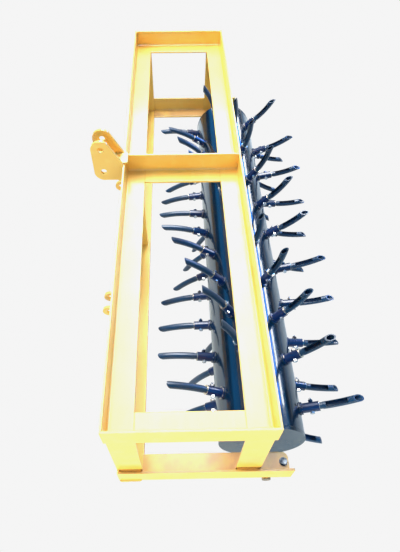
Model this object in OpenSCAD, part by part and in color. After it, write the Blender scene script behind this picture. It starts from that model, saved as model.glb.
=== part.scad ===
// Drum core aerator for a three-point hitch.
// A weight tray of angle iron stands on five posts over an open lower frame.
// A closed drum hangs under the lower frame in two bearing blocks and carries
// one spiral of curved hollow coring tines, each in its own bolted socket.
// X is rearward, Y runs along the drum, Z is up, and the ground is at Z = 0.

/* [Node] */
// part of the assembly to draw

/* [Frame] */
// length of the frame along the drum
frame_w = 1829; // [1700:1:1900]
// depth of the weight tray, front to rear
tray_d = 396; // [370:1:440]
// height from the underside of the lower frame to the top edge of the tray
frame_h = 406; // [380:1:460]
// reach of the lower end rails behind the tray's front face
lower_reach = 487; // [480:1:500]
// leg width of the angle iron
leg = 69; // [60:1:72]
// thickness of the angle iron
wall = 6.5; // [5:0.5:8]
// radius inside the corner of the angle iron
root_r = 6; // [4:0.5:8]
// rounding of the toes of the angle iron
toe_r = 3; // [1:0.5:4]
// distance of the corner posts' outer faces from the frame's ends
post_inset = 11.5; // [10.5:0.5:14]
// leg width of the centre post
center_leg = 52; // [40:1:60]
// distance of the cross member's upright leg past the middle of the frame
cross_offset = 24; // [12:1:40]

/* [Hitch] */
// reach of the top link plates in front of the tray
hitch_reach = 98; // [90:1:110]
// distance of all hitch holes in front of the tray
hole_reach = 66; // [60:1:68]
// clear gap between a pair of hitch plates
hitch_gap = 52; // [48:1:56]
// thickness of the hitch plates
plate_t = 9; // [8:0.5:10]
// height of the top link holes above and below the tray's top edge
top_holes = [62, -24];
// diameter of the top link holes
top_hole_d = 20; // [19:0.5:22]
// spacing of the two lower link clevises
lower_spread = 654; // [600:1:700]
// diameter of the lower link holes
lower_hole_d = 22.5; // [22:0.5:24]

/* [Drum] */
// height of the axle above the ground
axle_h = 322.5; // [322:0.1:324]
// distance of the axle behind the tray's front face
axle_x = 423.5; // [415:0.5:430]
// outside diameter of the drum
drum_d = 264; // [250:1:270]
// length of the drum over its end plates
drum_l = 1611; // [1600:1:1640]
// wall thickness of the drum
drum_wall = 7; // [5:0.5:9]
// thickness of the drum's end plates
end_t = 10; // [8:0.5:12]
// diameter of the axle
axle_d = 25.4; // [25:0.1:28]
// turn of the whole drum
drum_turn = 0; // [0:1:360]

/* [Bearings] */
// height of the axle's centre from the bearing's foot
bearing_h = 36.5; // [36.5:0.5:38]
// spacing of the bearing's two bolts
bearing_bolts = 96; // [92:1:98]
// distance of the bearing's centre from the frame's end
bearing_in = 40; // [38:0.5:42]
// outside diameter of the turning bearing ring
ring_d = 52; // [50:1:53]

/* [Tines] */
// number of tines on the drum
tine_count = 65; // [60:1:65]
// step along the drum from one tine to the next
tine_step = 24; // [23.5:0.1:24]
// turn round the drum from one tine to the next
tine_turn = 62.24; // [60:0.01:64]
// angle of the first tine, from the rear towards the top
first_angle = -94.8; // [-95.5:0.1:-94]
// hand-set error of each tine's angle
skew = [0, -9, -9, 0, -3, 0, 0, 0, 3, 5, 2, -3, 0, 0, 0, 2, 1, -3, 0, -1, -2, 0, -4, 0,
    0, -4, -4, -1, 4, 0, 2, 3, 0, 3, 3, 0, 1, 1, 0, 4, 0, 0, -1, 0, 2, 2, 0, 0,
    -1, -1, -1, 0, 0, 0, -3, -4, -3, 0, 0, 3, 6, 7, 6, 0, 0];
// outside diameter of a tine's coring tube
tine_d = 22.5; // [22:0.5:26]
// bore of a tine's coring tube
tine_bore = 16.5; // [14:0.5:19]
// diameter of a tine's shank
shank_d = 20; // [18:0.5:21]
// bend of the coring tube
tine_bend = 20; // [10:0.5:22]
// length of a tine from the socket's mouth to its point
tine_l = 129; // [120:1:129]
// length of a socket from the drum
socket_l = 60; // [55:1:60]
// outside diameter of a socket
socket_d = 30; // [28:0.5:32]

/* [Hidden] */
fine = 64;
sweep_r = 322.5;                               // farthest reach of the tines from the axle
top_z = axle_h + bearing_h + frame_h;          // top edge of the tray
tray_z = top_z - leg;                          // underside of the tray
low_z = top_z - frame_h;                       // underside of the lower frame
front_x = (hitch_reach - axle_x - sweep_r) / 2; // front face of the tray
rear_x = front_x + tray_d;                     // rear face of the tray
axis_x = front_x + axle_x;                     // axle
end_y = frame_w / 2;                           // end face of the frame
pair_y = (hitch_gap + plate_t) / 2;            // middle of a hitch plate from its pair's centre
shank_clear = 0.1;                             // gap round a shank in its socket
shank_out = 9;                                 // bare shank outside the socket
bolt_at = 35;                                  // cross bolt from the socket's foot
bolt_d = 8;
lug_z = 26;                                    // lower link holes above the lower frame
row_count = 6;
tine_y0 = -tine_step * (tine_count - 1) / 2;

YELLOW = [0.96, 0.76, 0.27];
BLACK = [0.06, 0.08, 0.12];
STEEL = [0.75, 0.76, 0.78];
IRON = [0.22, 0.25, 0.27];

// ---- helpers ----

// points of a quarter arc round a centre
function arc(cx, cy, r, from, to, n = 4) =
    [for (i = [0:n]) let(a = from + (to - from) * i / n) [cx + r * cos(a), cy + r * sin(a)]];

// section of rolled angle: one leg flat along X, one standing at the left
module angle_section(w = leg, t = wall) {
    polygon(concat([[0, 0], [w, 0]],
        arc(w - toe_r, t - toe_r, toe_r, 0, 90),
        arc(t + root_r, t + root_r, root_r, 270, 180),
        arc(t - toe_r, w - toe_r, toe_r, 0, 90),
        [[0, w]]));
}

// angle bar along Y with its standing leg at x and its foot at z
module bar_y(x, z, len) {
    translate([x, len / 2, z]) rotate([90, 0, 0]) linear_extrude(len) angle_section();
}

// angle bar along X with its standing leg at y and its foot at z
module bar_x(x, y, z, len) {
    translate([x, y, z]) rotate([90, 0, 90]) linear_extrude(len) angle_section();
}

// rod along Y from y1 to y2
module rod_y(x, z, d, y1, y2, sides = fine) {
    translate([x, y2, z]) rotate([90, 0, 0]) cylinder(d = d, h = y2 - y1, $fn = sides);
}

// ---- weight tray ----

module tray_front_rail() color(YELLOW) bar_y(front_x, tray_z, frame_w);

module tray_rear_rail() color(YELLOW) tray_rear_bar();

module tray_rear_bar() translate([rear_x + front_x, 0, 0]) mirror([1, 0, 0])
    bar_y(front_x, tray_z, frame_w);

// bar across the tray, coped over the feet of the long rails
module tray_bar(y) {
    difference() {
        bar_x(front_x, y, tray_z, tray_d);
        bar_y(front_x, tray_z, frame_w + 2);
        translate([rear_x + front_x, 0, 0]) mirror([1, 0, 0])
            bar_y(front_x, tray_z, frame_w + 2);
    }
}

module tray_end_rail_left() color(YELLOW) tray_bar(-end_y);

module tray_end_rail_right() color(YELLOW) mirror([0, 1, 0]) tray_bar(-end_y);

module tray_cross_member() color(YELLOW) mirror([0, 1, 0]) tray_bar(-cross_offset);

// ---- lower frame ----

module lower_front_rail() color(YELLOW) bar_y(front_x, low_z, frame_w);

// end rail with a rounded rear corner and two holes for the bearing's bolts
module lower_end_bar() {
    corner = 20;
    end_x = front_x + lower_reach;
    difference() {
        bar_x(front_x, -end_y, low_z, lower_reach);
        bar_y(front_x, low_z, frame_w + 2);
        translate([end_x - corner, -end_y + leg - corner, low_z - 1])
            difference() {
                cube([corner + 1, corner + 1, leg]);
                cylinder(r = corner, h = leg, $fn = fine);
            }
        for (s = [-1, 1])
            translate([axis_x + s * bearing_bolts / 2, bearing_in - end_y, low_z - 1])
                cylinder(d = 13, h = wall + 2, $fn = 32);
    }
}

module lower_end_rail_left() color(YELLOW) lower_end_bar();

module lower_end_rail_right() color(YELLOW) mirror([0, 1, 0]) lower_end_bar();

// ---- posts ----

// left corner post standing behind the end rail, flush with the front or rear face
module corner_post(rear = false) {
    h = tray_z - low_z - wall;
    x = rear ? rear_x : front_x;
    difference() {
        translate([x, -end_y + post_inset, low_z + wall])
            mirror([rear ? 1 : 0, 0, 0]) linear_extrude(h) angle_section();
        bar_y(front_x, low_z, frame_w);
        bar_x(front_x, -end_y, low_z, lower_reach);
    }
}

module upright_front_left() color(YELLOW) corner_post();

module upright_rear_left() color(YELLOW) corner_post(rear = true);

module upright_front_right() color(YELLOW) mirror([0, 1, 0]) corner_post();

module upright_rear_right() color(YELLOW) mirror([0, 1, 0]) corner_post(rear = true);

module upright_center() color(YELLOW) {
    difference() {
        translate([front_x + wall, -pair_y - plate_t / 2, low_z + wall])
            linear_extrude(tray_z - low_z - wall) angle_section(center_leg);
        bar_y(front_x, low_z, frame_w);
    }
}

// ---- hitch ----

// top link plate: rounded nose, sloped back edge, straight weld edge on the tray
module top_link_plate(y) {
    r = hitch_reach - hole_reach;
    lean = 45;
    translate([front_x, y + plate_t / 2, top_z]) rotate([90, 0, 0]) linear_extrude(plate_t)
        difference() {
            polygon(concat(
                arc(-hole_reach, top_holes[0], r, 180, lean, 16),
                [[0, 5], [0, -60]],
                arc(-hole_reach, -60 + r, r, 270, 180, 12)));
            for (z = top_holes) translate([-hole_reach, z]) circle(d = top_hole_d, $fn = fine);
        }
}

module top_link_plate_left() color(YELLOW) top_link_plate(-pair_y);

module top_link_plate_right() color(YELLOW) top_link_plate(pair_y);

// small drilled strap that lies over the tray's edge between the two plates
module top_link_tie_plate() color(YELLOW) {
    difference() {
        translate([front_x - 31, -hitch_gap / 2, top_z]) cube([45, hitch_gap, 6]);
        translate([front_x - 14, 8, top_z - 1]) cylinder(d = 7, h = 8, $fn = 32);
    }
}

// lower link lug: flat bar with a round nose, welded to the lower front rail
module lower_link_lug(y) {
    r = 25;
    translate([front_x, y + plate_t / 2, low_z + lug_z]) rotate([90, 0, 0])
        difference() {
            union() {
                translate([-hole_reach, -r, 0]) cube([hole_reach, 2 * r, plate_t]);
                translate([-hole_reach, 0, 0]) cylinder(r = r, h = plate_t, $fn = fine);
            }
            translate([-hole_reach, 0, -1])
                cylinder(d = lower_hole_d, h = plate_t + 2, $fn = fine);
        }
}

module lower_link_lug_left_outer() color(YELLOW) lower_link_lug(-lower_spread / 2 - pair_y);

module lower_link_lug_left_inner() color(YELLOW) lower_link_lug(-lower_spread / 2 + pair_y);

module lower_link_lug_right_inner() color(YELLOW) lower_link_lug(lower_spread / 2 - pair_y);

module lower_link_lug_right_outer() color(YELLOW) lower_link_lug(lower_spread / 2 + pair_y);

// ---- weld beads: over the feet of the corner posts and along the front corner ----

// bead along X with a rounded top, filling a groove of the given width
module groove_bead(x, y, z, len, w) {
    translate([x, y, z - 6]) cube([len, w, 6]);
    translate([x, y + w / 2, z]) rotate([0, 90, 0]) cylinder(d = w, h = len, $fn = 24);
}

module end_beads() {
    gap = post_inset - wall;
    y = wall - end_y;
    for (x = [front_x + wall + 1, rear_x - leg + 2])
        groove_bead(x, y, low_z + leg - 4, leg - wall - 3, gap);
    intersection() {
        translate([front_x, -end_y, low_z]) rotate([0, 90, 0])
            cylinder(r = 6, h = leg - 4, $fn = 32);
        translate([front_x, -end_y - 10, low_z]) cube([leg, 10, 10]);
    }
}

module weld_beads_left() color(YELLOW) end_beads();

module weld_beads_right() color(YELLOW) mirror([0, 1, 0]) end_beads();

// ---- bearings ----

// pillow block hung under the end rail
module bearing_block() {
    foot_l = bearing_bolts + 32;
    foot_t = 14;
    foot_w = 38;
    body_r = 33;
    body_w = 28;
    translate([axis_x, bearing_in - end_y, axle_h]) difference() {
        union() {
            translate([-foot_l / 2 + 12, -foot_w / 2, bearing_h - foot_t])
                cube([foot_l - 24, foot_w, foot_t]);
            for (s = [-1, 1]) translate([s * (foot_l / 2 - 19), 0, bearing_h - foot_t])
                cylinder(d = foot_w, h = foot_t, $fn = fine);
            rod_y(0, 0, 2 * body_r, -body_w / 2, body_w / 2);
            translate([-body_r, -body_w / 2, 0]) cube([2 * body_r, body_w, bearing_h - foot_t]);
        }
        rod_y(0, 0, ring_d + 0.1, -foot_w, foot_w);
        for (s = [-1, 1]) translate([s * bearing_bolts / 2, 0, 0])
            cylinder(d = 13, h = 60, $fn = 32);
    }
}

module bearing_housing_left() color(IRON) bearing_block();

module bearing_housing_right() color(IRON) mirror([0, 1, 0]) bearing_block();

// hex-headed bolts through the rail and the bearing's foot
module bearing_bolt_pair() {
    for (s = [-1, 1])
        translate([axis_x + s * bearing_bolts / 2, bearing_in - end_y, low_z + wall]) {
            cylinder(d = 24, h = 2, $fn = 48);
            translate([0, 0, 2]) cylinder(d = 21.9, h = 7, $fn = 6);
            translate([0, 0, -wall - 14 - 16]) cylinder(d = 12, h = 40, $fn = 48);
        }
}

module bearing_bolts_left() color(STEEL) bearing_bolt_pair();

module bearing_bolts_right() color(STEEL) mirror([0, 1, 0]) bearing_bolt_pair();

module bearing_nut_pair() {
    for (s = [-1, 1])
        translate([axis_x + s * bearing_bolts / 2, bearing_in - end_y, low_z - 14 - 10])
            difference() {
                cylinder(d = 21.9, h = 10, $fn = 6);
                translate([0, 0, -1]) cylinder(d = 12, h = 12, $fn = 48);
            }
}

module bearing_nuts_left() color(STEEL) bearing_nut_pair();

module bearing_nuts_right() color(STEEL) mirror([0, 1, 0]) bearing_nut_pair();

// turning ring of the bearing with its locking collar
module turning_ring() {
    translate([axis_x, bearing_in - end_y, axle_h]) rotate([-90, 0, 0])
        rotate_extrude($fn = fine) polygon([[axle_d / 2, -10], [17, -10], [17, -8],
            [ring_d / 2, -8], [ring_d / 2, 8], [19, 8], [19, 24], [axle_d / 2, 24]]);
}

module bearing_ring_left() color(STEEL) turning_ring();

module bearing_ring_right() color(STEEL) mirror([0, 1, 0]) turning_ring();

// ---- drum ----

module drum_tube(d, y1, y2) translate([axis_x, 0, axle_h]) rod_y(0, 0, d, y1, y2, 96);

module drum_shell() color(BLACK) {
    half = drum_l / 2 - end_t;
    difference() {
        drum_tube(drum_d, -half, half);
        drum_tube(drum_d - 2 * drum_wall, -half - 1, half + 1);
    }
}

module end_plate() {
    half = drum_l / 2;
    difference() {
        drum_tube(drum_d, -half, end_t - half);
        drum_tube(axle_d, -half - 1, end_t - half + 1);
    }
}

module drum_end_left() color(BLACK) end_plate();

module drum_end_right() color(BLACK) mirror([0, 1, 0]) end_plate();

// through axle, cross drilled near both ends
module axle() color(STEEL) difference() {
    rod_y(axis_x, axle_h, axle_d, 2 - end_y, end_y - 2);
    for (s = [-1, 1]) translate([axis_x, s * (end_y - 7.5), axle_h])
        rotate([0, 45, 0]) cylinder(d = 6, h = 60, center = true, $fn = 24);
}

// ---- tines ----

// places children at every tine of a row; +X is outward, +Z is the way the drum turns
module at_row(row) {
    for (n = [row - 1:row_count:tine_count - 1])
        translate([axis_x, tine_y0 + tine_step * n, axle_h])
            rotate([0, -(first_angle + tine_turn * n + skew[n] + drum_turn), 0])
                translate([drum_d / 2, 0, 0]) children();
}

// socket: round foot on the drum, flange, and a bored sleeve
module socket() difference() {
    rotate([0, 90, 0]) rotate_extrude($fn = 48) polygon([[0, -5], [16, -5], [16, 1.5],
        [19, 2.5], [19, 7], [socket_d / 2, 8], [socket_d / 2, socket_l],
        [shank_d / 2 + shank_clear, socket_l], [shank_d / 2 + shank_clear, 9], [0, 9]]);
    rod_y(-drum_d / 2, 0, drum_d, -40, 40, 96);
    rod_y(bolt_at, 0, bolt_d + 0.4, -40, 40, 32);
}

// tine: solid shank, bent coring tube with a long window and a slanted open point
module tine() {
    body_l = tine_l - shank_out;
    bend_r = body_l / (tine_bend * PI / 180);
    per = tine_bend / body_l;
    difference() {
        union() {
            translate([10, 0, 0]) rotate([0, 90, 0])
                cylinder(d = shank_d, h = socket_l + shank_out - 9, $fn = 48);
            bent(bend_r) rotate_extrude(angle = tine_bend, $fn = fine)
                translate([bend_r, 0]) circle(d = tine_d, $fn = 48);
        }
        bent(bend_r) {
            rotate([0, 0, per * 8]) rotate_extrude(angle = tine_bend, $fn = fine)
                translate([bend_r, 0]) circle(d = tine_bore, $fn = 48);
            rotate([0, 0, per * 10]) rotate_extrude(angle = per * 68, $fn = fine)
                translate([bend_r - tine_d, -8.5]) square([tine_d - 3.5, 17]);
            rotate([0, 0, tine_bend]) translate([bend_r + tine_d / 2, 0, -30])
                rotate([0, 0, 45]) translate([-60, 0, 0]) cube([80, 60, 60]);
        }
        rod_y(bolt_at, 0, bolt_d + 0.4, -40, 40, 32);
    }
}

// frame of a bend that starts at the end of the shank and curls towards +Z
module bent(r) translate([socket_l + shank_out, 0, r]) rotate([0, 90, 0]) rotate([90, 0, 0])
    children();

// hex bolt across the socket, head on the left
module tine_bolt() {
    rod_y(bolt_at, 0, bolt_d, -socket_d / 2 - 3, socket_d / 2 + 13, 32);
    rod_y(bolt_at, 0, 15, -socket_d / 2 - 6, -socket_d / 2, 6);
}

module tine_nut() difference() {
    rod_y(bolt_at, 0, 15, socket_d / 2, socket_d / 2 + 7, 6);
    rod_y(bolt_at, 0, bolt_d, 0, 40, 32);
}

module tine_sockets_row_1() color(BLACK) at_row(1) socket();

module tine_sockets_row_2() color(BLACK) at_row(2) socket();

module tine_sockets_row_3() color(BLACK) at_row(3) socket();

module tine_sockets_row_4() color(BLACK) at_row(4) socket();

module tine_sockets_row_5() color(BLACK) at_row(5) socket();

module tine_sockets_row_6() color(BLACK) at_row(6) socket();

module tines_row_1() color(BLACK) at_row(1) tine();

module tines_row_2() color(BLACK) at_row(2) tine();

module tines_row_3() color(BLACK) at_row(3) tine();

module tines_row_4() color(BLACK) at_row(4) tine();

module tines_row_5() color(BLACK) at_row(5) tine();

module tines_row_6() color(BLACK) at_row(6) tine();

module tine_bolts_row_1() color(STEEL) at_row(1) tine_bolt();

module tine_bolts_row_2() color(STEEL) at_row(2) tine_bolt();

module tine_bolts_row_3() color(STEEL) at_row(3) tine_bolt();

module tine_bolts_row_4() color(STEEL) at_row(4) tine_bolt();

module tine_bolts_row_5() color(STEEL) at_row(5) tine_bolt();

module tine_bolts_row_6() color(STEEL) at_row(6) tine_bolt();

module tine_nuts_row_1() color(STEEL) at_row(1) tine_nut();

module tine_nuts_row_2() color(STEEL) at_row(2) tine_nut();

module tine_nuts_row_3() color(STEEL) at_row(3) tine_nut();

module tine_nuts_row_4() color(STEEL) at_row(4) tine_nut();

module tine_nuts_row_5() color(STEEL) at_row(5) tine_nut();

module tine_nuts_row_6() color(STEEL) at_row(6) tine_nut();

// ---- drawing ----

tray_front_rail();
tray_rear_rail();
tray_end_rail_left();
tray_end_rail_right();
tray_cross_member();
lower_front_rail();
lower_end_rail_left();
lower_end_rail_right();
upright_front_left();
upright_rear_left();
upright_front_right();
upright_rear_right();
upright_center();
top_link_plate_left();
top_link_plate_right();
top_link_tie_plate();
lower_link_lug_left_outer();
lower_link_lug_left_inner();
lower_link_lug_right_inner();
lower_link_lug_right_outer();
weld_beads_left();
weld_beads_right();
bearing_housing_left();
bearing_housing_right();
bearing_bolts_left();
bearing_bolts_right();
bearing_nuts_left();
bearing_nuts_right();
drum_shell();
drum_end_left();
drum_end_right();
axle();
bearing_ring_left();
bearing_ring_right();
tine_sockets_row_1();
tine_sockets_row_2();
tine_sockets_row_3();
tine_sockets_row_4();
tine_sockets_row_5();
tine_sockets_row_6();
tines_row_1();
tines_row_2();
tines_row_3();
tines_row_4();
tines_row_5();
tines_row_6();
tine_bolts_row_1();
tine_bolts_row_2();
tine_bolts_row_3();
tine_bolts_row_4();
tine_bolts_row_5();
tine_bolts_row_6();
tine_nuts_row_1();
tine_nuts_row_2();
tine_nuts_row_3();
tine_nuts_row_4();
tine_nuts_row_5();
tine_nuts_row_6();
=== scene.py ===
import math

import bmesh
import bpy
import numpy as np
from mathutils import Matrix, Vector, noise


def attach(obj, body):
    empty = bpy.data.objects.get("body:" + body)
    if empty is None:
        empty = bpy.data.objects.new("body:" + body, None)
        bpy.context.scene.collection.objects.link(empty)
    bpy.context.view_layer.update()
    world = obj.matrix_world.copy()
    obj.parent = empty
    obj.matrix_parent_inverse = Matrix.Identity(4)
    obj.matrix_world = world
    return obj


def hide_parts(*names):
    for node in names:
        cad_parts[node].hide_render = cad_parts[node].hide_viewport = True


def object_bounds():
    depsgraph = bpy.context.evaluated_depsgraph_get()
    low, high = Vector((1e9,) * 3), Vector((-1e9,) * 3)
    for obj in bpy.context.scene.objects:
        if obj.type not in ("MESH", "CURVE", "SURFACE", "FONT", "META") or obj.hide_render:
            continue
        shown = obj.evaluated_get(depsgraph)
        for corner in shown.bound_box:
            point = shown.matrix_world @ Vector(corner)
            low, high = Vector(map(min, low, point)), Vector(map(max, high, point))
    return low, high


# A drum core aerator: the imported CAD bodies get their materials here, with finer
# bolts, weld seams and bare edges around them, a camera, soft light and a floor.
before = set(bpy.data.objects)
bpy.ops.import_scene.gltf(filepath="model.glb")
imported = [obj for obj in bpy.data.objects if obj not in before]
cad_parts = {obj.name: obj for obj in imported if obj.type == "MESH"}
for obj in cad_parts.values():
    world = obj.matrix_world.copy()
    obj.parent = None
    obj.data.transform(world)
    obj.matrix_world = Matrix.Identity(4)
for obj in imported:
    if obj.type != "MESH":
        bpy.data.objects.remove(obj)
cad_box = [list(v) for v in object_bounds()]
scene = bpy.context.scene
MM = 0.001

# ---------------------------------------------------------------- camera
EYE = Vector((-0.1506, -1.2345, 1.7394))
RIGHT = Vector((0.99981859, -0.01891840, -0.00220733))
UP = Vector((0.01636705, 0.79409269, 0.60757627))
AHEAD = Vector((0.00974154, 0.60750218, -0.79425827))
cam = bpy.data.objects.new("camera", bpy.data.cameras.new("camera"))
scene.collection.objects.link(cam)
turn = Matrix((RIGHT, UP, -AHEAD)).transposed().to_4x4()
cam.matrix_world = Matrix.Translation(EYE) @ turn
cam.data.sensor_width = 36.0
cam.data.sensor_fit = "AUTO"
cam.data.lens = 29.586
cam.data.shift_x = 0.0334
cam.data.shift_y = -0.0042
cam.data.clip_end = 60.0
scene.camera = cam
scene.view_settings.view_transform = "Standard"
scene.view_settings.look = "None"
PALE = 0.913  # the brightest value shown, and the tone of floor and background
scene.view_settings.use_curve_mapping = True
curves = scene.view_settings.curve_mapping
curves.extend = "HORIZONTAL"
curves.curves[3].points.new(PALE, PALE)
curves.curves[3].points[-1].location = (1.0, PALE)
for point in curves.curves[3].points:
    point.handle_type = "VECTOR"
curves.update()

# ---------------------------------------------------------------- dimensions (mm)
FRONT, REAR = -324.0, 72.0                      # front and rear faces of the tray
TOP, TRAY, LOW = 765.0, 696.0, 359.0            # tray's top edge and underside, lower frame's underside
LEG, WALL, END = 69.0, 6.5, 914.5               # angle iron's leg and thickness, end of the frame
AXIS_X, AXIS_Z = 99.5, 322.5                    # axle
DRUM_R, DRUM_HALF, DISC_T = 132.0, 805.5, 10.0  # drum's radius, half length and end plates
DRUM_SEAM_Y = -553.0                            # seam round the drum's shell
PAIR = 30.5                                     # middle of a hitch plate from its pair's centre
PLATE = 9.0                                     # thickness of a hitch plate
HITCH_Y = 327.0                                 # centre of a pair of lower link lugs
BEARING_IN = 40.0                               # bearing from the frame's end
BEARING_BOLT = 48.0                             # bearing bolt from the axle
POST = 11.5                                     # posts' outer faces from the frame's end
CENTER_LEG = 52.0                               # leg of the centre post
CROSS_Y = 24.0                                  # far face of the cross member's upright leg
BOLT_AT, BOLT_R = 35.0, 4.0                     # cross bolt from the socket's foot, and its radius
HEAD_R, BEARING_HEAD_R = 7.5, 10.95             # hexagons of the cross bolts and the bearing bolts
FOOT_WELD_R = 18.4                              # weld round a socket's foot
FLOOR = TRAY + WALL                             # tray's floor


# ---------------------------------------------------------------- node helpers
class Nodes:
    """One material and the nodes that it is built from."""

    def __init__(self, name):
        self.mat = bpy.data.materials.new(name)
        self.mat.use_nodes = True
        self.nt = self.mat.node_tree
        self.bsdf = self.nt.nodes["Principled BSDF"]
        self.coord = self.nt.nodes.new("ShaderNodeTexCoord").outputs["Object"]

    def put(self, socket, value):
        if isinstance(value, bpy.types.NodeSocket):
            self.nt.links.new(value, socket)
        elif value is not None:
            socket.default_value = value

    def noise(self, scale, detail=3.0, rough=0.5, stretch=None):
        n = self.nt.nodes.new("ShaderNodeTexNoise")
        n.inputs["Scale"].default_value = scale
        n.inputs["Detail"].default_value = detail
        n.inputs["Roughness"].default_value = rough
        src = self.coord
        if stretch:
            m = self.nt.nodes.new("ShaderNodeMapping")
            m.inputs["Scale"].default_value = stretch
            self.nt.links.new(src, m.inputs["Vector"])
            src = m.outputs["Vector"]
        self.nt.links.new(src, n.inputs["Vector"])
        return n.outputs["Fac"]

    def math(self, op, a, b=None, clamp=False):
        n = self.nt.nodes.new("ShaderNodeMath")
        n.operation = op
        n.use_clamp = clamp
        self.put(n.inputs[0], a)
        self.put(n.inputs[1], b)
        return n.outputs[0]

    def remap(self, v, lo, hi, to_lo=0.0, to_hi=1.0):
        n = self.nt.nodes.new("ShaderNodeMapRange")
        n.clamp = True
        self.put(n.inputs["Value"], v)
        for k, x in (("From Min", lo), ("From Max", hi), ("To Min", to_lo), ("To Max", to_hi)):
            n.inputs[k].default_value = x
        return n.outputs["Result"]

    def mix(self, fac, a, b):
        n = self.nt.nodes.new("ShaderNodeMix")
        n.data_type = "RGBA"
        self.put(n.inputs[0], fac)
        for i, x in ((6, a), (7, b)):
            self.put(n.inputs[i], x if isinstance(x, bpy.types.NodeSocket) else (*x, 1.0))
        return n.outputs[2]

    def edges(self, radius):
        """1 along sharp outer edges, 0 on flat faces."""
        bev = self.nt.nodes.new("ShaderNodeBevel")
        bev.samples = 4
        bev.inputs["Radius"].default_value = radius
        geo = self.nt.nodes.new("ShaderNodeNewGeometry")
        dot = self.nt.nodes.new("ShaderNodeVectorMath")
        dot.operation = "DOT_PRODUCT"
        self.nt.links.new(bev.outputs["Normal"], dot.inputs[0])
        self.nt.links.new(geo.outputs["True Normal"], dot.inputs[1])
        return self.remap(dot.outputs["Value"], 0.985, 0.86)

    def crevice(self, distance):
        """0 on open faces, rising towards 1 in corners."""
        ao = self.nt.nodes.new("ShaderNodeAmbientOcclusion")
        ao.samples = 6
        ao.inputs["Distance"].default_value = distance
        return self.math("SUBTRACT", 1.0, ao.outputs["AO"])

    def bump(self, height, strength, distance, under=None):
        b = self.nt.nodes.new("ShaderNodeBump")
        b.inputs["Strength"].default_value = strength
        b.inputs["Distance"].default_value = distance
        self.nt.links.new(height, b.inputs["Height"])
        if under is not None:
            self.nt.links.new(under, b.inputs["Normal"])
        return b.outputs["Normal"]

    def facing_up(self):
        """1 on level faces that look up, 0 on the others."""
        turn = self.nt.nodes.new("ShaderNodeNewGeometry")
        split = self.nt.nodes.new("ShaderNodeSeparateXYZ")
        self.nt.links.new(turn.outputs["Normal"], split.inputs[0])
        return self.remap(split.outputs["Z"], 0.6, 0.9)

    def done(self, color, rough, normal=None, metal=None, coat=None, coat_rough=None):
        self.put(self.bsdf.inputs["Base Color"], color)
        self.put(self.bsdf.inputs["Roughness"], rough)
        self.put(self.bsdf.inputs["Metallic"], metal)
        self.put(self.bsdf.inputs["Coat Weight"], coat)
        self.put(self.bsdf.inputs["Coat Roughness"], coat_rough)
        if normal is not None:
            self.nt.links.new(normal, self.bsdf.inputs["Normal"])
        return self.mat


def yellow_paint(name, beads=False, level_shade=0.0):
    """Aged enamel with painted shade and soil in the corners; the last argument weighs a film of painted
    shade on level faces.
    """
    n = Nodes(name)
    broad = n.noise(4.0, 4.0, 0.55)
    base = n.mix(n.remap(broad, 0.35, 0.65), (0.94, 0.50, 0.065), (0.97, 0.59, 0.105))
    runs = n.noise(30.0, 3.0, 0.5, stretch=(1.0, 0.25, 1.0))
    base = n.mix(n.remap(runs, 0.52, 0.72, 0.0, 0.35), base, (0.98, 0.68, 0.16))
    # painted shade: corners darken towards brown by their occlusion, in patches like soil, and the same
    # mask roughens them
    corner_soil_and_shade = n.math("MULTIPLY", n.remap(n.crevice(0.022), 0.54, 0.85),
                  n.remap(n.noise(26.0, 5.0, 0.65), 0.36, 0.62))
    # painted shade: weld beads get a darker, more orange copy of the paint
    if beads:
        base = n.mix(0.45, base, (0.86, 0.36, 0.03))
    base = n.mix(n.math("MULTIPLY", corner_soil_and_shade, 0.30 if beads else 0.55), base, (0.52, 0.22, 0.03))
    if not beads:
        # painted shade and grime: the deepest corners go nearly black in patches
        deep_corner_shade_and_grime = n.math("MULTIPLY", n.remap(n.crevice(0.030), 0.66, 0.80),
                      n.remap(n.noise(75.0, 4.0, 0.7), 0.46, 0.56))
        base = n.mix(n.math("MULTIPLY", deep_corner_shade_and_grime, 0.85), base, (0.09, 0.05, 0.025))
    # painted shade: level faces darken to tan-brown in patches, as under the tray
    if level_shade:
        level_face_shade = n.math("MULTIPLY", n.facing_up(), n.remap(n.noise(7.0, 5.0, 0.6), 0.26, 0.52))
        base = n.mix(n.math("MULTIPLY", level_face_shade, level_shade), base, (0.44, 0.22, 0.085))
    specks = n.remap(n.noise(420.0, 2.0, 0.5), 0.70, 0.76)
    specks = n.math("MULTIPLY", specks, n.remap(n.noise(14.0, 2.0, 0.5), 0.48, 0.62))
    base = n.mix(n.math("MULTIPLY", specks, 0.55), base, (0.30, 0.13, 0.025))
    if not beads:
        chips = n.math("MULTIPLY", n.edges(0.0016), n.remap(n.noise(60.0, 5.0, 0.7), 0.58, 0.64))
        base = n.mix(n.math("MULTIPLY", chips, 0.85), base, (0.22, 0.17, 0.13))
    rough = n.remap(n.noise(18.0, 3.0, 0.5), 0.3, 0.7, 0.30, 0.44)
    rough = n.math("ADD", rough, n.math("MULTIPLY", corner_soil_and_shade, 0.25), clamp=True)
    peel = n.bump(n.noise(330.0, 2.0, 0.45), 0.10, 0.0006)
    if not beads:
        peel = n.bump(n.noise(24.0, 2.0, 0.4), 0.10, 0.0012, under=peel)
    return n.done(base, rough, peel, coat=0.12 if level_shade else 0.48, coat_rough=0.12)


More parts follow.
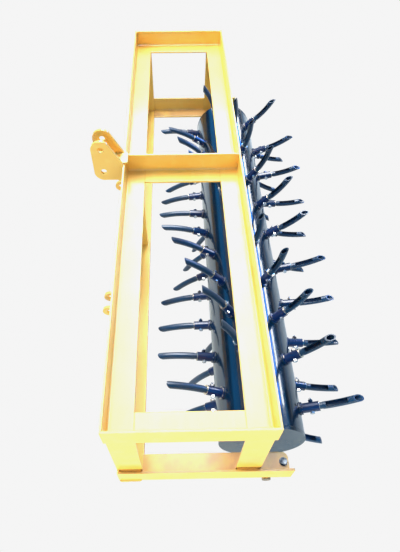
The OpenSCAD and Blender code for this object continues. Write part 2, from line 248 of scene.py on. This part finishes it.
def black_paint(name, deep=(0.0009, 0.0088, 0.018), faded=(0.0017, 0.0175, 0.040), dull=0.0,
                coat_rough=0.05):
    """Blue-black enamel, dusty and chipped; dull is added to its roughness."""
    n = Nodes(name)
    base = n.mix(n.remap(n.noise(5.0, 3.0, 0.5), 0.35, 0.65), deep, faded)
    dust = n.math("MULTIPLY", n.remap(n.noise(36.0, 6.0, 0.7), 0.55, 0.78), 0.05)
    base = n.mix(dust, base, (0.16, 0.17, 0.165))
    # corners gather a lighter brown soil here, which also roughens them; no shade is painted
    corner_soil_and_shade = n.math("MULTIPLY", n.remap(n.crevice(0.012), 0.35, 0.9),
                  n.remap(n.noise(90.0, 4.0, 0.6), 0.42, 0.62))
    base = n.mix(n.math("MULTIPLY", corner_soil_and_shade, 0.35), base, (0.10, 0.085, 0.06))
    chips = n.math("MULTIPLY", n.edges(0.0011), n.remap(n.noise(150.0, 4.0, 0.7), 0.56, 0.62))
    base = n.mix(chips, base, (0.42, 0.37, 0.30))
    rough = n.remap(n.noise(22.0, 3.0, 0.5), 0.3, 0.7, 0.15 + dull, 0.26 + dull)
    rough = n.math("ADD", rough, n.math("MULTIPLY", corner_soil_and_shade, 0.35), clamp=True)
    peel = n.bump(n.noise(260.0, 2.0, 0.45), 0.05, 0.0004)
    peel = n.bump(n.noise(16.0, 2.0, 0.4), 0.10, 0.0016, under=peel)
    return n.done(base, rough, peel, metal=n.math("MULTIPLY", chips, 0.8), coat=0.75, coat_rough=coat_rough)


def worn_paint(name, bare_above):
    """Black paint rubbed through to bare steel in patches."""
    n = Nodes(name)
    bare = n.remap(n.noise(75.0, 4.0, 0.65), bare_above, bare_above + 0.05)
    metal = n.mix(n.remap(n.noise(240.0, 4.0, 0.6), 0.4, 0.65), (0.72, 0.62, 0.48), (0.34, 0.22, 0.12))
    base = n.mix(bare, (0.0016, 0.011, 0.036), metal)
    rough = n.remap(bare, 0.0, 1.0, 0.18, 0.42)
    height = n.bump(n.math("SUBTRACT", 1.0, bare), 0.4, 0.0001)
    return n.done(base, rough, height, metal=n.math("MULTIPLY", bare, 0.85), coat=0.5, coat_rough=0.08)


def bare_steel(name, tint, rust):
    """Turned steel with spots of rust."""
    n = Nodes(name)
    spot = n.remap(n.noise(190.0, 5.0, 0.7), 0.50, 0.68)
    base = n.mix(n.remap(n.noise(60.0, 3.0, 0.5), 0.3, 0.7), tint, tuple(min(1.0, c * 1.25) for c in tint))
    base = n.mix(n.math("MULTIPLY", spot, rust), base, (0.16, 0.065, 0.02))
    rough = n.remap(spot, 0.0, 1.0, 0.26, 0.62)
    metal = n.remap(spot, 0.0, 1.0, 1.0, 1.0 - rust)
    turned = n.bump(n.noise(900.0, 2.0, 0.5, stretch=(1.0, 6.0, 1.0)), 0.15, 0.0003)
    return n.done(base, rough, turned, metal=metal)


def zinc_steel(name, cool=(0.70, 0.74, 0.80), warm=(0.86, 0.85, 0.80)):
    """Zinc plate that turns dull in spots, with painted shade in its tight crevices."""
    n = Nodes(name)
    hue = n.remap(n.noise(110.0, 3.0, 0.5), 0.35, 0.65)
    base = n.mix(hue, cool, warm)
    dull = n.remap(n.noise(420.0, 4.0, 0.6), 0.52, 0.72)
    base = n.mix(n.math("MULTIPLY", dull, 0.35), base, (0.42, 0.43, 0.44))
    # painted shade: tight crevices darken
    corner_soil_and_shade = n.remap(n.crevice(0.004), 0.45, 0.95)
    base = n.mix(n.math("MULTIPLY", corner_soil_and_shade, 0.6), base, (0.10, 0.09, 0.08))
    rough = n.remap(dull, 0.0, 1.0, 0.20, 0.42)
    return n.done(base, rough, n.bump(n.noise(700.0, 2.0, 0.5), 0.10, 0.0002), metal=0.95)


def cast_iron(name):
    """Painted casting with a grainy skin."""
    n = Nodes(name)
    base = n.mix(n.remap(n.noise(70.0, 4.0, 0.6), 0.35, 0.65), (0.030, 0.040, 0.046), (0.060, 0.075, 0.082))
    chips = n.math("MULTIPLY", n.edges(0.0014), n.remap(n.noise(120.0, 4.0, 0.7), 0.50, 0.60))
    base = n.mix(chips, base, (0.20, 0.15, 0.11))
    skin = n.bump(n.noise(240.0, 5.0, 0.65), 0.45, 0.0011)
    return n.done(base, n.remap(n.noise(130.0, 3.0, 0.5), 0.3, 0.7, 0.45, 0.68), skin)


YELLOW = yellow_paint("yellow_paint")
# the weld-bead copy is darker and more orange, painted shade
YELLOW_BEAD_SHADED = yellow_paint("yellow_paint_on_weld_shaded", beads=True)
# the lower end rail's paint: painted shade on its level faces, and a duller coat
YELLOW_LOW = yellow_paint("yellow_paint_shaded_level_faces", level_shade=0.75)
BLACK = black_paint("black_paint")
END_DISC = black_paint("drum_end_paint", (0.0022, 0.0078, 0.0095), (0.0040, 0.0135, 0.0170), 0.05, 0.08)
# painted light: sockets and tines get lighter blue and teal copies of the black paint, so they look lit;
# their coats are also rougher
SOCKET_LIT = black_paint("socket_paint_lit_blue", (0.0012, 0.0085, 0.042), (0.0024, 0.0190, 0.095), 0.10, 0.14)
TINE_LIT = black_paint("tine_paint_lit_teal", (0.0018, 0.0200, 0.046), (0.0036, 0.0390, 0.090), 0.22, 0.30)
ZINC = zinc_steel("zinc_plate")
# painted shade: a much darker copy of the zinc for the bearing bolts and nuts
SHADED_ZINC = zinc_steel("zinc_plate_shaded_dark", (0.040, 0.052, 0.066), (0.070, 0.080, 0.090))
BARE = bare_steel("bare_edge_steel", (0.80, 0.68, 0.50), 0.35)
AXLE = bare_steel("axle_steel", (0.55, 0.38, 0.20), 0.75)
WORN = worn_paint("worn_black_paint", 0.54)
BOLT = worn_paint("painted_bolt", 0.585)
RING = bare_steel("bearing_steel", (0.62, 0.62, 0.62), 0.2)
IRON = cast_iron("bearing_iron")


# the first start of a name that fits gives a CAD node its material
LOOKS = (("drum_end", END_DISC), ("drum_", BLACK), ("lower_end_rail", YELLOW_LOW), ("tine_sockets", SOCKET_LIT),
         ("tines_", TINE_LIT), ("tine_bolts", BOLT), ("tine_nuts", BOLT), ("bearing_bolts", SHADED_ZINC),
         ("bearing_nuts", SHADED_ZINC), ("bearing_ring", RING), ("bearing_housing", IRON), ("axle", AXLE),
         ("", YELLOW))
for name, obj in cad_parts.items():
    obj.data.materials.clear()
    obj.data.materials.append(next(mat for start, mat in LOOKS if name.startswith(start)))


# ---------------------------------------------------------------- mesh helpers
def add(name, bm, body, mat, smooth=38.0, replaces=()):
    """One visual piece from a bmesh in mm."""
    bmesh.ops.recalc_face_normals(bm, faces=bm.faces)
    mesh = bpy.data.meshes.new(name)
    bm.to_mesh(mesh)
    bm.free()
    mesh.transform(Matrix.Scale(MM, 4))
    obj = bpy.data.objects.new(name, mesh)
    scene.collection.objects.link(obj)
    obj.data.materials.append(mat)
    mesh.polygons.foreach_set("use_smooth", [True] * len(mesh.polygons))
    mesh.set_sharp_from_angle(angle=math.radians(smooth))
    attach(obj, body)
    if replaces:
        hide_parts(*replaces)


def skin(bm, rings, closed=False):
    """Faces between rings of points; each ring has the same number of points."""
    made = [[bm.verts.new(p) for p in ring] for ring in rings]
    count = len(made[0])
    pairs = list(zip(made, made[1:])) + ([(made[-1], made[0])] if closed else [])
    for a, b in pairs:
        for i in range(count):
            j = (i + 1) % count
            bm.faces.new((a[i], a[j], b[j], b[i]))
    if not closed:
        bm.faces.new(list(reversed(made[0])))
        bm.faces.new(made[-1])


def bead(bm, points, radius, seed=0.0, pitch=3.6, sides=8, closed=False, flat=1.0, lift=None):
    """A rippled weld bead along a path of points, thinned at its two ends."""
    pts = [Vector(p) for p in points]
    if closed:
        pts.append(pts[0])
    walk, total = [0.0], 0.0
    for a, b in zip(pts, pts[1:]):
        total += (b - a).length
        walk.append(total)
    count = max(6, int(total / (pitch / 3)))
    rings = []
    for i in range(count if closed else count + 1):
        s = total * i / count
        k = max(0, min(len(pts) - 2, int(np.searchsorted(walk, s, side="right")) - 1))
        t = (s - walk[k]) / max(1e-9, walk[k + 1] - walk[k])
        p = pts[k].lerp(pts[k + 1], t)
        d = (pts[k + 1] - pts[k]).normalized()
        side = (lift or Vector((0, 0, 1))).cross(d)
        if side.length < 1e-3:
            side = Vector((1, 0, 0)).cross(d)
        if side.length < 1e-3:
            side = Vector((0, 1, 0)).cross(d)
        side.normalize()
        up = d.cross(side)
        ripple = 0.88 + 0.12 * abs(math.cos(math.pi * s / pitch))
        wobble = 1.0 + 0.16 * noise.noise(Vector((s * 0.06, seed, 0.3)))
        end = 1.0
        if not closed:
            e = min(s, total - s) / (1.3 * radius)
            end = math.sqrt(max(0.02, 1.0 - (1.0 - min(1.0, e)) ** 2))
        r = radius * ripple * wobble * end
        drift = side * (0.10 * radius * noise.noise(Vector((s * 0.09, 7.1, seed))))
        rings.append([p + drift + side * (r * math.cos(2 * math.pi * j / sides))
                      + up * (r * flat * math.sin(2 * math.pi * j / sides)) for j in range(sides)])
    skin(bm, rings, closed=closed)


def lathe(bm, profile, place, sides=40):
    """A closed ring: profile points (x, r) turned about X, then moved by place."""
    rings = []
    for i in range(sides):
        a = 2 * math.pi * i / sides
        rings.append([place @ Vector((x, r * math.cos(a), r * math.sin(a))) for x, r in profile])
    skin(bm, rings, closed=True)


def hex_radius(a, corner):
    """Radius of a hexagon's outline at an angle."""
    flat = corner * math.cos(math.pi / 6)
    return flat / math.cos((a + math.pi / 6) % (math.pi / 3) - math.pi / 6)


def hexagon(bm, place, corner, low, high, low_chamfer=False, hole=0.0, sides=48):
    """A hexagonal head or nut along +X of place, with turned chamfers and an optional hole."""
    turned = corner * 0.9
    rings = []

    def fall(a):
        return max(0.0, hex_radius(a, corner) - turned) * 0.55

    def ring(x, r):
        """One ring whose place along X and radius are numbers or functions of the angle."""
        angles = [2 * math.pi * i / sides for i in range(sides)]
        points = [(x(a) if callable(x) else x, r(a) if callable(r) else r, a) for a in angles]
        rings.append([place @ Vector((px, pr * math.cos(a), pr * math.sin(a))) for px, pr, a in points])

    if hole:
        ring(low, hole)
    ring(low, turned * (0.97 if low_chamfer else 0.96))
    ring(lambda a: low + (fall(a) if low_chamfer else 0.15), lambda a: hex_radius(a, corner))
    ring(lambda a: high - fall(a), lambda a: hex_radius(a, corner))
    ring(high, turned * 0.96)
    if hole:
        ring(high, hole + 0.35)
        skin(bm, rings, closed=True)
    else:
        ring(high - 0.25, turned * 0.80)
        skin(bm, rings)


def threaded(bm, place, radius, low, start, high, pitch=1.25, sides=24):
    """A rod along +X of place: plain from low to start, then threaded, with a chamfered end."""
    rings = []

    def ring(x, r):
        rings.append([place @ Vector((x, r * math.cos(2 * math.pi * i / sides),
                                      r * math.sin(2 * math.pi * i / sides))) for i in range(sides)])

    ring(low, radius)
    x = start
    while x < high - 1.6:
        ring(x, radius * 0.985)
        ring(x + pitch * 0.5, radius * 0.86)
        x += pitch
    ring(high - 0.9, radius * 0.97)
    ring(high, radius * 0.76)
    skin(bm, rings)


def frame_at(origin, x_axis, y_axis):
    """A placement with its origin and two of its axes given."""
    x = Vector(x_axis).normalized()
    y = Vector(y_axis).normalized()
    z = x.cross(y)
    m = Matrix((x, y, z)).transposed().to_4x4()
    return Matrix.Translation(Vector(origin)) @ m


# ---------------------------------------------------------------- places of the tines, from the CAD bolts
BOLT_GAP = 60.0    # bolts of one row stand farther apart than this along the drum
BOLT_MIDDLE = 3.5  # middle of a bolt and its head from the middle of its tine


def tine_places(row):
    """Each tine's Y and its placement: origin at the socket's foot, +X out of the drum."""
    co = np.array([v.co[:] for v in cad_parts[f"tine_bolts_row_{row}"].data.vertices]) / MM
    co = co[np.argsort(co[:, 1])]
    cuts = np.where(np.diff(co[:, 1]) > BOLT_GAP)[0] + 1
    found = []
    for part in np.split(co, cuts):
        mid = (part.min(0) + part.max(0)) / 2
        angle = math.atan2(mid[2] - AXIS_Z, mid[0] - AXIS_X)
        y = mid[1] - BOLT_MIDDLE
        found.append((y, Matrix.Translation(Vector((AXIS_X, y, AXIS_Z))) @ Matrix.Rotation(-angle, 4, "Y")
                      @ Matrix.Translation(Vector((DRUM_R, 0.0, 0.0)))))
    return found


def foot_weld(bm, y, place, steps=36):
    """The weld round a socket's foot, which follows the drum's curve."""
    path = []
    for i in range(steps):
        a = 2 * math.pi * i / steps
        z = FOOT_WELD_R * math.sin(a)
        drop = math.sqrt(DRUM_R ** 2 - z * z) - DRUM_R
        path.append(place @ Vector((drop + 0.9, FOOT_WELD_R * math.cos(a), z)))
    bead(bm, path, 2.3, seed=y, pitch=5.2, sides=7, closed=True, lift=place.to_3x3() @ Vector((1, 0, 0)))


# outlines (x, r) of the bare rings on a socket's mouth and on its flange
MOUTH = ((58.9, 14.7), (58.9, 15.06), (59.6, 15.18), (60.25, 14.7), (60.3, 11.2), (60.15, 10.5),
         (59.6, 10.35), (59.4, 11.2))
RIM = ((5.6, 18.8), (5.9, 19.12), (6.8, 19.22), (7.3, 18.9), (7.75, 16.9), (7.2, 16.9))
for row in range(1, 7):
    welds, mouths, rims, bolts, nuts = (bmesh.new() for _ in range(5))
    for y, place in tine_places(row):
        foot_weld(welds, y, place)
        lathe(mouths, MOUTH, place)
        lathe(rims, RIM, place)
        head = place @ frame_at((BOLT_AT, 0, 0), (0, -1, 0), (1, 0, 0))
        hexagon(bolts, head, HEAD_R, 14.9, 21.0)
        tail = place @ frame_at((BOLT_AT, 0, 0), (0, 1, 0), (1, 0, 0))
        threaded(bolts, tail, BOLT_R, -14.0, 13.0, 28.0)
        hexagon(nuts, tail, HEAD_R, 15.0, 22.0, low_chamfer=True, hole=BOLT_R + 0.05)
    add(f"socket_welds_row_{row}", welds, "drum", BLACK, 60.0)
    add(f"socket_mouth_edges_row_{row}", mouths, "drum", BARE)
    add(f"socket_rim_edges_row_{row}", rims, "drum", WORN)
    add(f"cross_bolts_row_{row}", bolts, "drum", ZINC, replaces=[f"tine_bolts_row_{row}"])
    add(f"cross_nuts_row_{row}", nuts, "drum", BOLT, replaces=[f"tine_nuts_row_{row}"])


# ---------------------------------------------------------------- seams on the drum
def hoop(bm, y, r, radius, seed, pitch=3.6, steps=120):
    """A weld bead round the axle's line, r away from it."""
    angles = [2 * math.pi * i / steps for i in range(steps)]
    points = [(AXIS_X + r * math.cos(a), y, AXIS_Z + r * math.sin(a)) for a in angles]
    bead(bm, points, radius, seed=seed, pitch=pitch, sides=6, closed=True, lift=Vector((0, 1, 0)))


bm = bmesh.new()
for s in (-1, 1):
    hoop(bm, s * (DRUM_HALF - DISC_T), DRUM_R - 0.5, 1.3, 3.0 * s, pitch=5.0)
    hoop(bm, s * (DRUM_HALF + 0.6), 15.2, 3.2, 9.0 * s)
hoop(bm, DRUM_SEAM_Y, DRUM_R - 0.2, 0.55, 5.0, pitch=6.0)
add("drum_seams", bm, "drum", BLACK, 60.0)

# ---------------------------------------------------------------- bearing bolts
for side, sign in (("left", -1), ("right", 1)):
    bolts, nuts = bmesh.new(), bmesh.new()
    for s in (-1, 1):
        at = (AXIS_X + s * BEARING_BOLT, sign * (END - BEARING_IN), LOW + WALL)
        up = frame_at(at, (0, 0, 1), (1, 0, 0))
        lathe(bolts, [(0.0, 6.2), (0.0, 11.8), (0.3, 12.0), (1.7, 12.0), (2.0, 11.8), (2.0, 6.2)], up, 56)
        hexagon(bolts, up, BEARING_HEAD_R, 2.0, 9.0)
        down = frame_at(at, (0, 0, -1), (1, 0, 0))
        threaded(bolts, down, 6.0, -2.5, 18.0, 36.5, pitch=1.75, sides=32)
        hexagon(nuts, down, BEARING_HEAD_R, 20.5, 30.5, low_chamfer=True, hole=6.05)
    add(f"housing_bolts_{side}", bolts, "frame", SHADED_ZINC, replaces=[f"bearing_bolts_{side}"])
    add(f"housing_nuts_{side}", nuts, "frame", SHADED_ZINC, replaces=[f"bearing_nuts_{side}"])

# ---------------------------------------------------------------- weld seams on the frame
tray, hitch, posts = bmesh.new(), bmesh.new(), bmesh.new()
SEED_STEP = 1.7
seed = 0.0


def seam(bm, a, b, r, **kw):
    """A straight weld bead from a to b, rippled unlike the others."""
    global seed
    seed += SEED_STEP
    bead(bm, [a, b], r, seed=seed, **kw)


for s in (-1, 1):
    inner = s * (END - WALL)
    for x in (FRONT + WALL, REAR - WALL):
        seam(tray, (x, inner, FLOOR + 3), (x, inner, TOP - 3), 2.6)
    for x in (FRONT + LEG, REAR - LEG):
        seam(tray, (x, inner - s * 3, FLOOR - 0.3), (x, s * (END - LEG), FLOOR - 0.3), 1.5, flat=0.55)
for x in (FRONT + WALL, REAR - WALL):
    for y in (CROSS_Y - WALL, CROSS_Y):
        seam(tray, (x, y, FLOOR + 3), (x, y, TOP - 3), 2.6)
for x in (FRONT + LEG, REAR - LEG):
    seam(tray, (x, 15.0, FLOOR - 0.3), (x, CROSS_Y - LEG + 2, FLOOR - 0.3), 1.5, flat=0.55)
add("tray_weld_seams", tray, "frame", YELLOW_BEAD_SHADED, 60.0)

for s in (-1, 1):
    for face in (-1, 1):
        y = s * PAIR + face * PLATE / 2
        seam(hitch, (FRONT, y, TOP - 57), (FRONT, y, TOP - 3), 3.0)
        for mid in (-HITCH_Y, HITCH_Y):
            y = mid + s * PAIR + face * PLATE / 2
            seam(hitch, (FRONT, y, LOW + 3), (FRONT, y, LOW + 49), 3.0)
    seam(hitch, (FRONT - 22, s * 25.8, TOP + 3.4), (FRONT + 10, s * 25.8, TOP + 3.0), 2.6)
seam(hitch, (FRONT + 13.5, -24, TOP + 0.5), (FRONT + 13.5, 24, TOP + 0.5), 2.2)
seam(hitch, (FRONT + WALL, -24, TOP - 0.4), (FRONT + WALL, 24, TOP - 0.4), 2.0)
add("hitch_weld_seams", hitch, "frame", YELLOW_BEAD_SHADED, 60.0)

for s in (-1, 1):
    outer = s * (END - POST)
    for x, d in ((FRONT, 1), (REAR, -1)):
        inside = outer - s * WALL
        for z in (LOW + WALL, TRAY):
            seam(posts, (x + d * 14, inside, z), (x + d * 67, inside, z), 2.6)
            seam(posts, (x + d * WALL, inside - s * 3, z), (x + d * WALL, inside - s * 58, z), 2.6)
        seam(posts, (x + d * 2, outer, TRAY), (x + d * 65, outer, TRAY), 2.4)
for z in (LOW + WALL, TRAY):
    y = -PAIR - PLATE / 2
    seam(posts, (FRONT + WALL + 8, y + WALL, z), (FRONT + WALL + CENTER_LEG - 2, y + WALL, z), 2.4)
    seam(posts, (FRONT + 2 * WALL, y + WALL + 3, z), (FRONT + 2 * WALL, y + CENTER_LEG - 2, z), 2.4)
add("post_weld_seams", posts, "frame", YELLOW_BEAD_SHADED, 60.0)

for side, s in (("left", -1), ("right", 1)):
    bm = bmesh.new()
    y = s * (END - WALL - 2.5)
    z = LOW + LEG - 4
    for x in (FRONT + WALL + 1, REAR - LEG + 2):
        seam(bm, (x, y, z), (x + LEG - WALL - 3, y, z), 2.6)
    y = s * (END - 0.6)
    seam(bm, (FRONT + 1, y, LOW + 1), (FRONT + LEG - 5, y, LOW + 1), 5.0, pitch=5.0, sides=12)
    add(f"corner_weld_seams_{side}", bm, "frame", YELLOW_BEAD_SHADED, 60.0,
        replaces=[f"weld_beads_{side}"])

# ---------------------------------------------------------------- floor, light and sky
bm = bmesh.new()
bmesh.ops.create_grid(bm, x_segments=8, y_segments=8, size=9000.0)
mesh = bpy.data.meshes.new("floor")
bm.to_mesh(mesh)
bm.free()
mesh.transform(Matrix.Scale(MM, 4))
floor = bpy.data.objects.new("floor", mesh)
scene.collection.objects.link(floor)
# camera rays see the floor as flat as the background, the others see it as matt ground
n = Nodes("pale_floor")
tone = n.mix(n.remap(n.noise(0.8, 4.0, 0.5), 0.35, 0.65), (0.56, 0.56, 0.48), (0.60, 0.60, 0.52))
mesh.materials.append(n.done(tone, 0.85, n.bump(n.noise(60.0, 3.0, 0.5), 0.05, 0.002)))
plain = n.nt.nodes.new("ShaderNodeEmission")
plain.inputs["Color"].default_value = (PALE, PALE, PALE, 1)
first = n.nt.nodes.new("ShaderNodeLightPath")
both = n.nt.nodes.new("ShaderNodeMixShader")
n.nt.links.new(first.outputs["Is Camera Ray"], both.inputs[0])
n.nt.links.new(n.bsdf.outputs[0], both.inputs[1])
n.nt.links.new(plain.outputs[0], both.inputs[2])
n.nt.links.new(both.outputs[0], n.nt.nodes["Material Output"].inputs["Surface"])
floor.location.z = min(0.0, cad_box[0][2])

# a grey horizon and a blue sky for reflections; the camera sees a pale background
world = bpy.data.worlds.new("sky")
scene.world = world
world.use_nodes = True
wn = world.node_tree
bg = wn.nodes["Background"]
tc = wn.nodes.new("ShaderNodeTexCoord")
sep = wn.nodes.new("ShaderNodeSeparateXYZ")
wn.links.new(tc.outputs["Generated"], sep.inputs[0])
ramp = wn.nodes.new("ShaderNodeValToRGB")
stops = ramp.color_ramp.elements
stops[0].position, stops[0].color = 0.0, (0.55, 0.56, 0.55, 1)
stops[1].position, stops[1].color = 1.0, (0.05, 0.25, 0.60, 1)
for place, color in ((0.03, (0.30, 0.31, 0.30, 1)), (0.07, (0.012, 0.014, 0.018, 1)),
                     (0.20, (0.012, 0.018, 0.026, 1)), (0.27, (0.08, 0.60, 1.50, 1)),
                     (0.55, (0.06, 0.42, 1.05, 1))):
    stops.new(place).color = color
wn.links.new(sep.outputs["Z"], ramp.inputs["Fac"])
path = wn.nodes.new("ShaderNodeLightPath")
seen = wn.nodes.new("ShaderNodeMix")
seen.data_type = "RGBA"
seen.inputs[7].default_value = (PALE, PALE, PALE, 1)
wn.links.new(path.outputs["Is Camera Ray"], seen.inputs[0])
wn.links.new(ramp.outputs["Color"], seen.inputs[6])
wn.links.new(seen.outputs[2], bg.inputs["Color"])
bg.inputs["Strength"].default_value = 1.0


def area(name, at, to, size, watts, color=(1, 1, 1), size_y=None, shine=True, light=True):
    """An area light; shine and light say whether gloss and matt surfaces see it."""
    lamp = bpy.data.lights.new(name, "AREA")
    lamp.shape = "RECTANGLE" if size_y else "SQUARE"
    lamp.size = size
    if size_y:
        lamp.size_y = size_y
    lamp.energy = watts
    lamp.color = color
    obj = bpy.data.objects.new(name, lamp)
    scene.collection.objects.link(obj)
    obj.location = at
    obj.rotation_euler = (Vector(to) - Vector(at)).to_track_quat("-Z", "Y").to_euler()
    obj.visible_camera = False
    obj.visible_glossy = shine
    obj.visible_diffuse = light
    return obj


area("key", (-2.6, 1.0, 3.2), (0, 0, 0.4), 2.2, 175.0, (1.0, 0.97, 0.93), shine=False)
area("overhead", (0.2, 1.9, 3.8), (0, 0.2, 0.5), 1.6, 130.0, shine=False)
area("near_fill", (-0.15, -2.70, 0.75), (-0.1, -0.9, 0.6), 1.3, 53.0, (1.0, 0.92, 0.74), shine=False)
area("roof_panel", (0.0, 2.7, 4.0), (0.0, 2.7, 0.0), 2.0, 500.0, size_y=5.6, light=False)
# two long strips beside the drum give it its white and blue streaks
ALONG = Vector((0, 1, 0))
AIM = Vector((0.15, 2.6, 0.44))
for name, x, z, width, power, color in (("white_strip", 2.66, 1.62, 0.26, 70.0, (1, 1, 1)),
                                        ("blue_strip", 2.40, 2.02, 0.34, 90.0, (0.02, 0.22, 1.0))):
    at = Vector((x, AIM.y, z))
    strip = area(name, at, AIM, 4.6, power, color, size_y=width, light=False)
    away = (at - AIM).normalized()
    strip.rotation_euler = Matrix((ALONG, away.cross(ALONG), away)).transposed().to_euler()
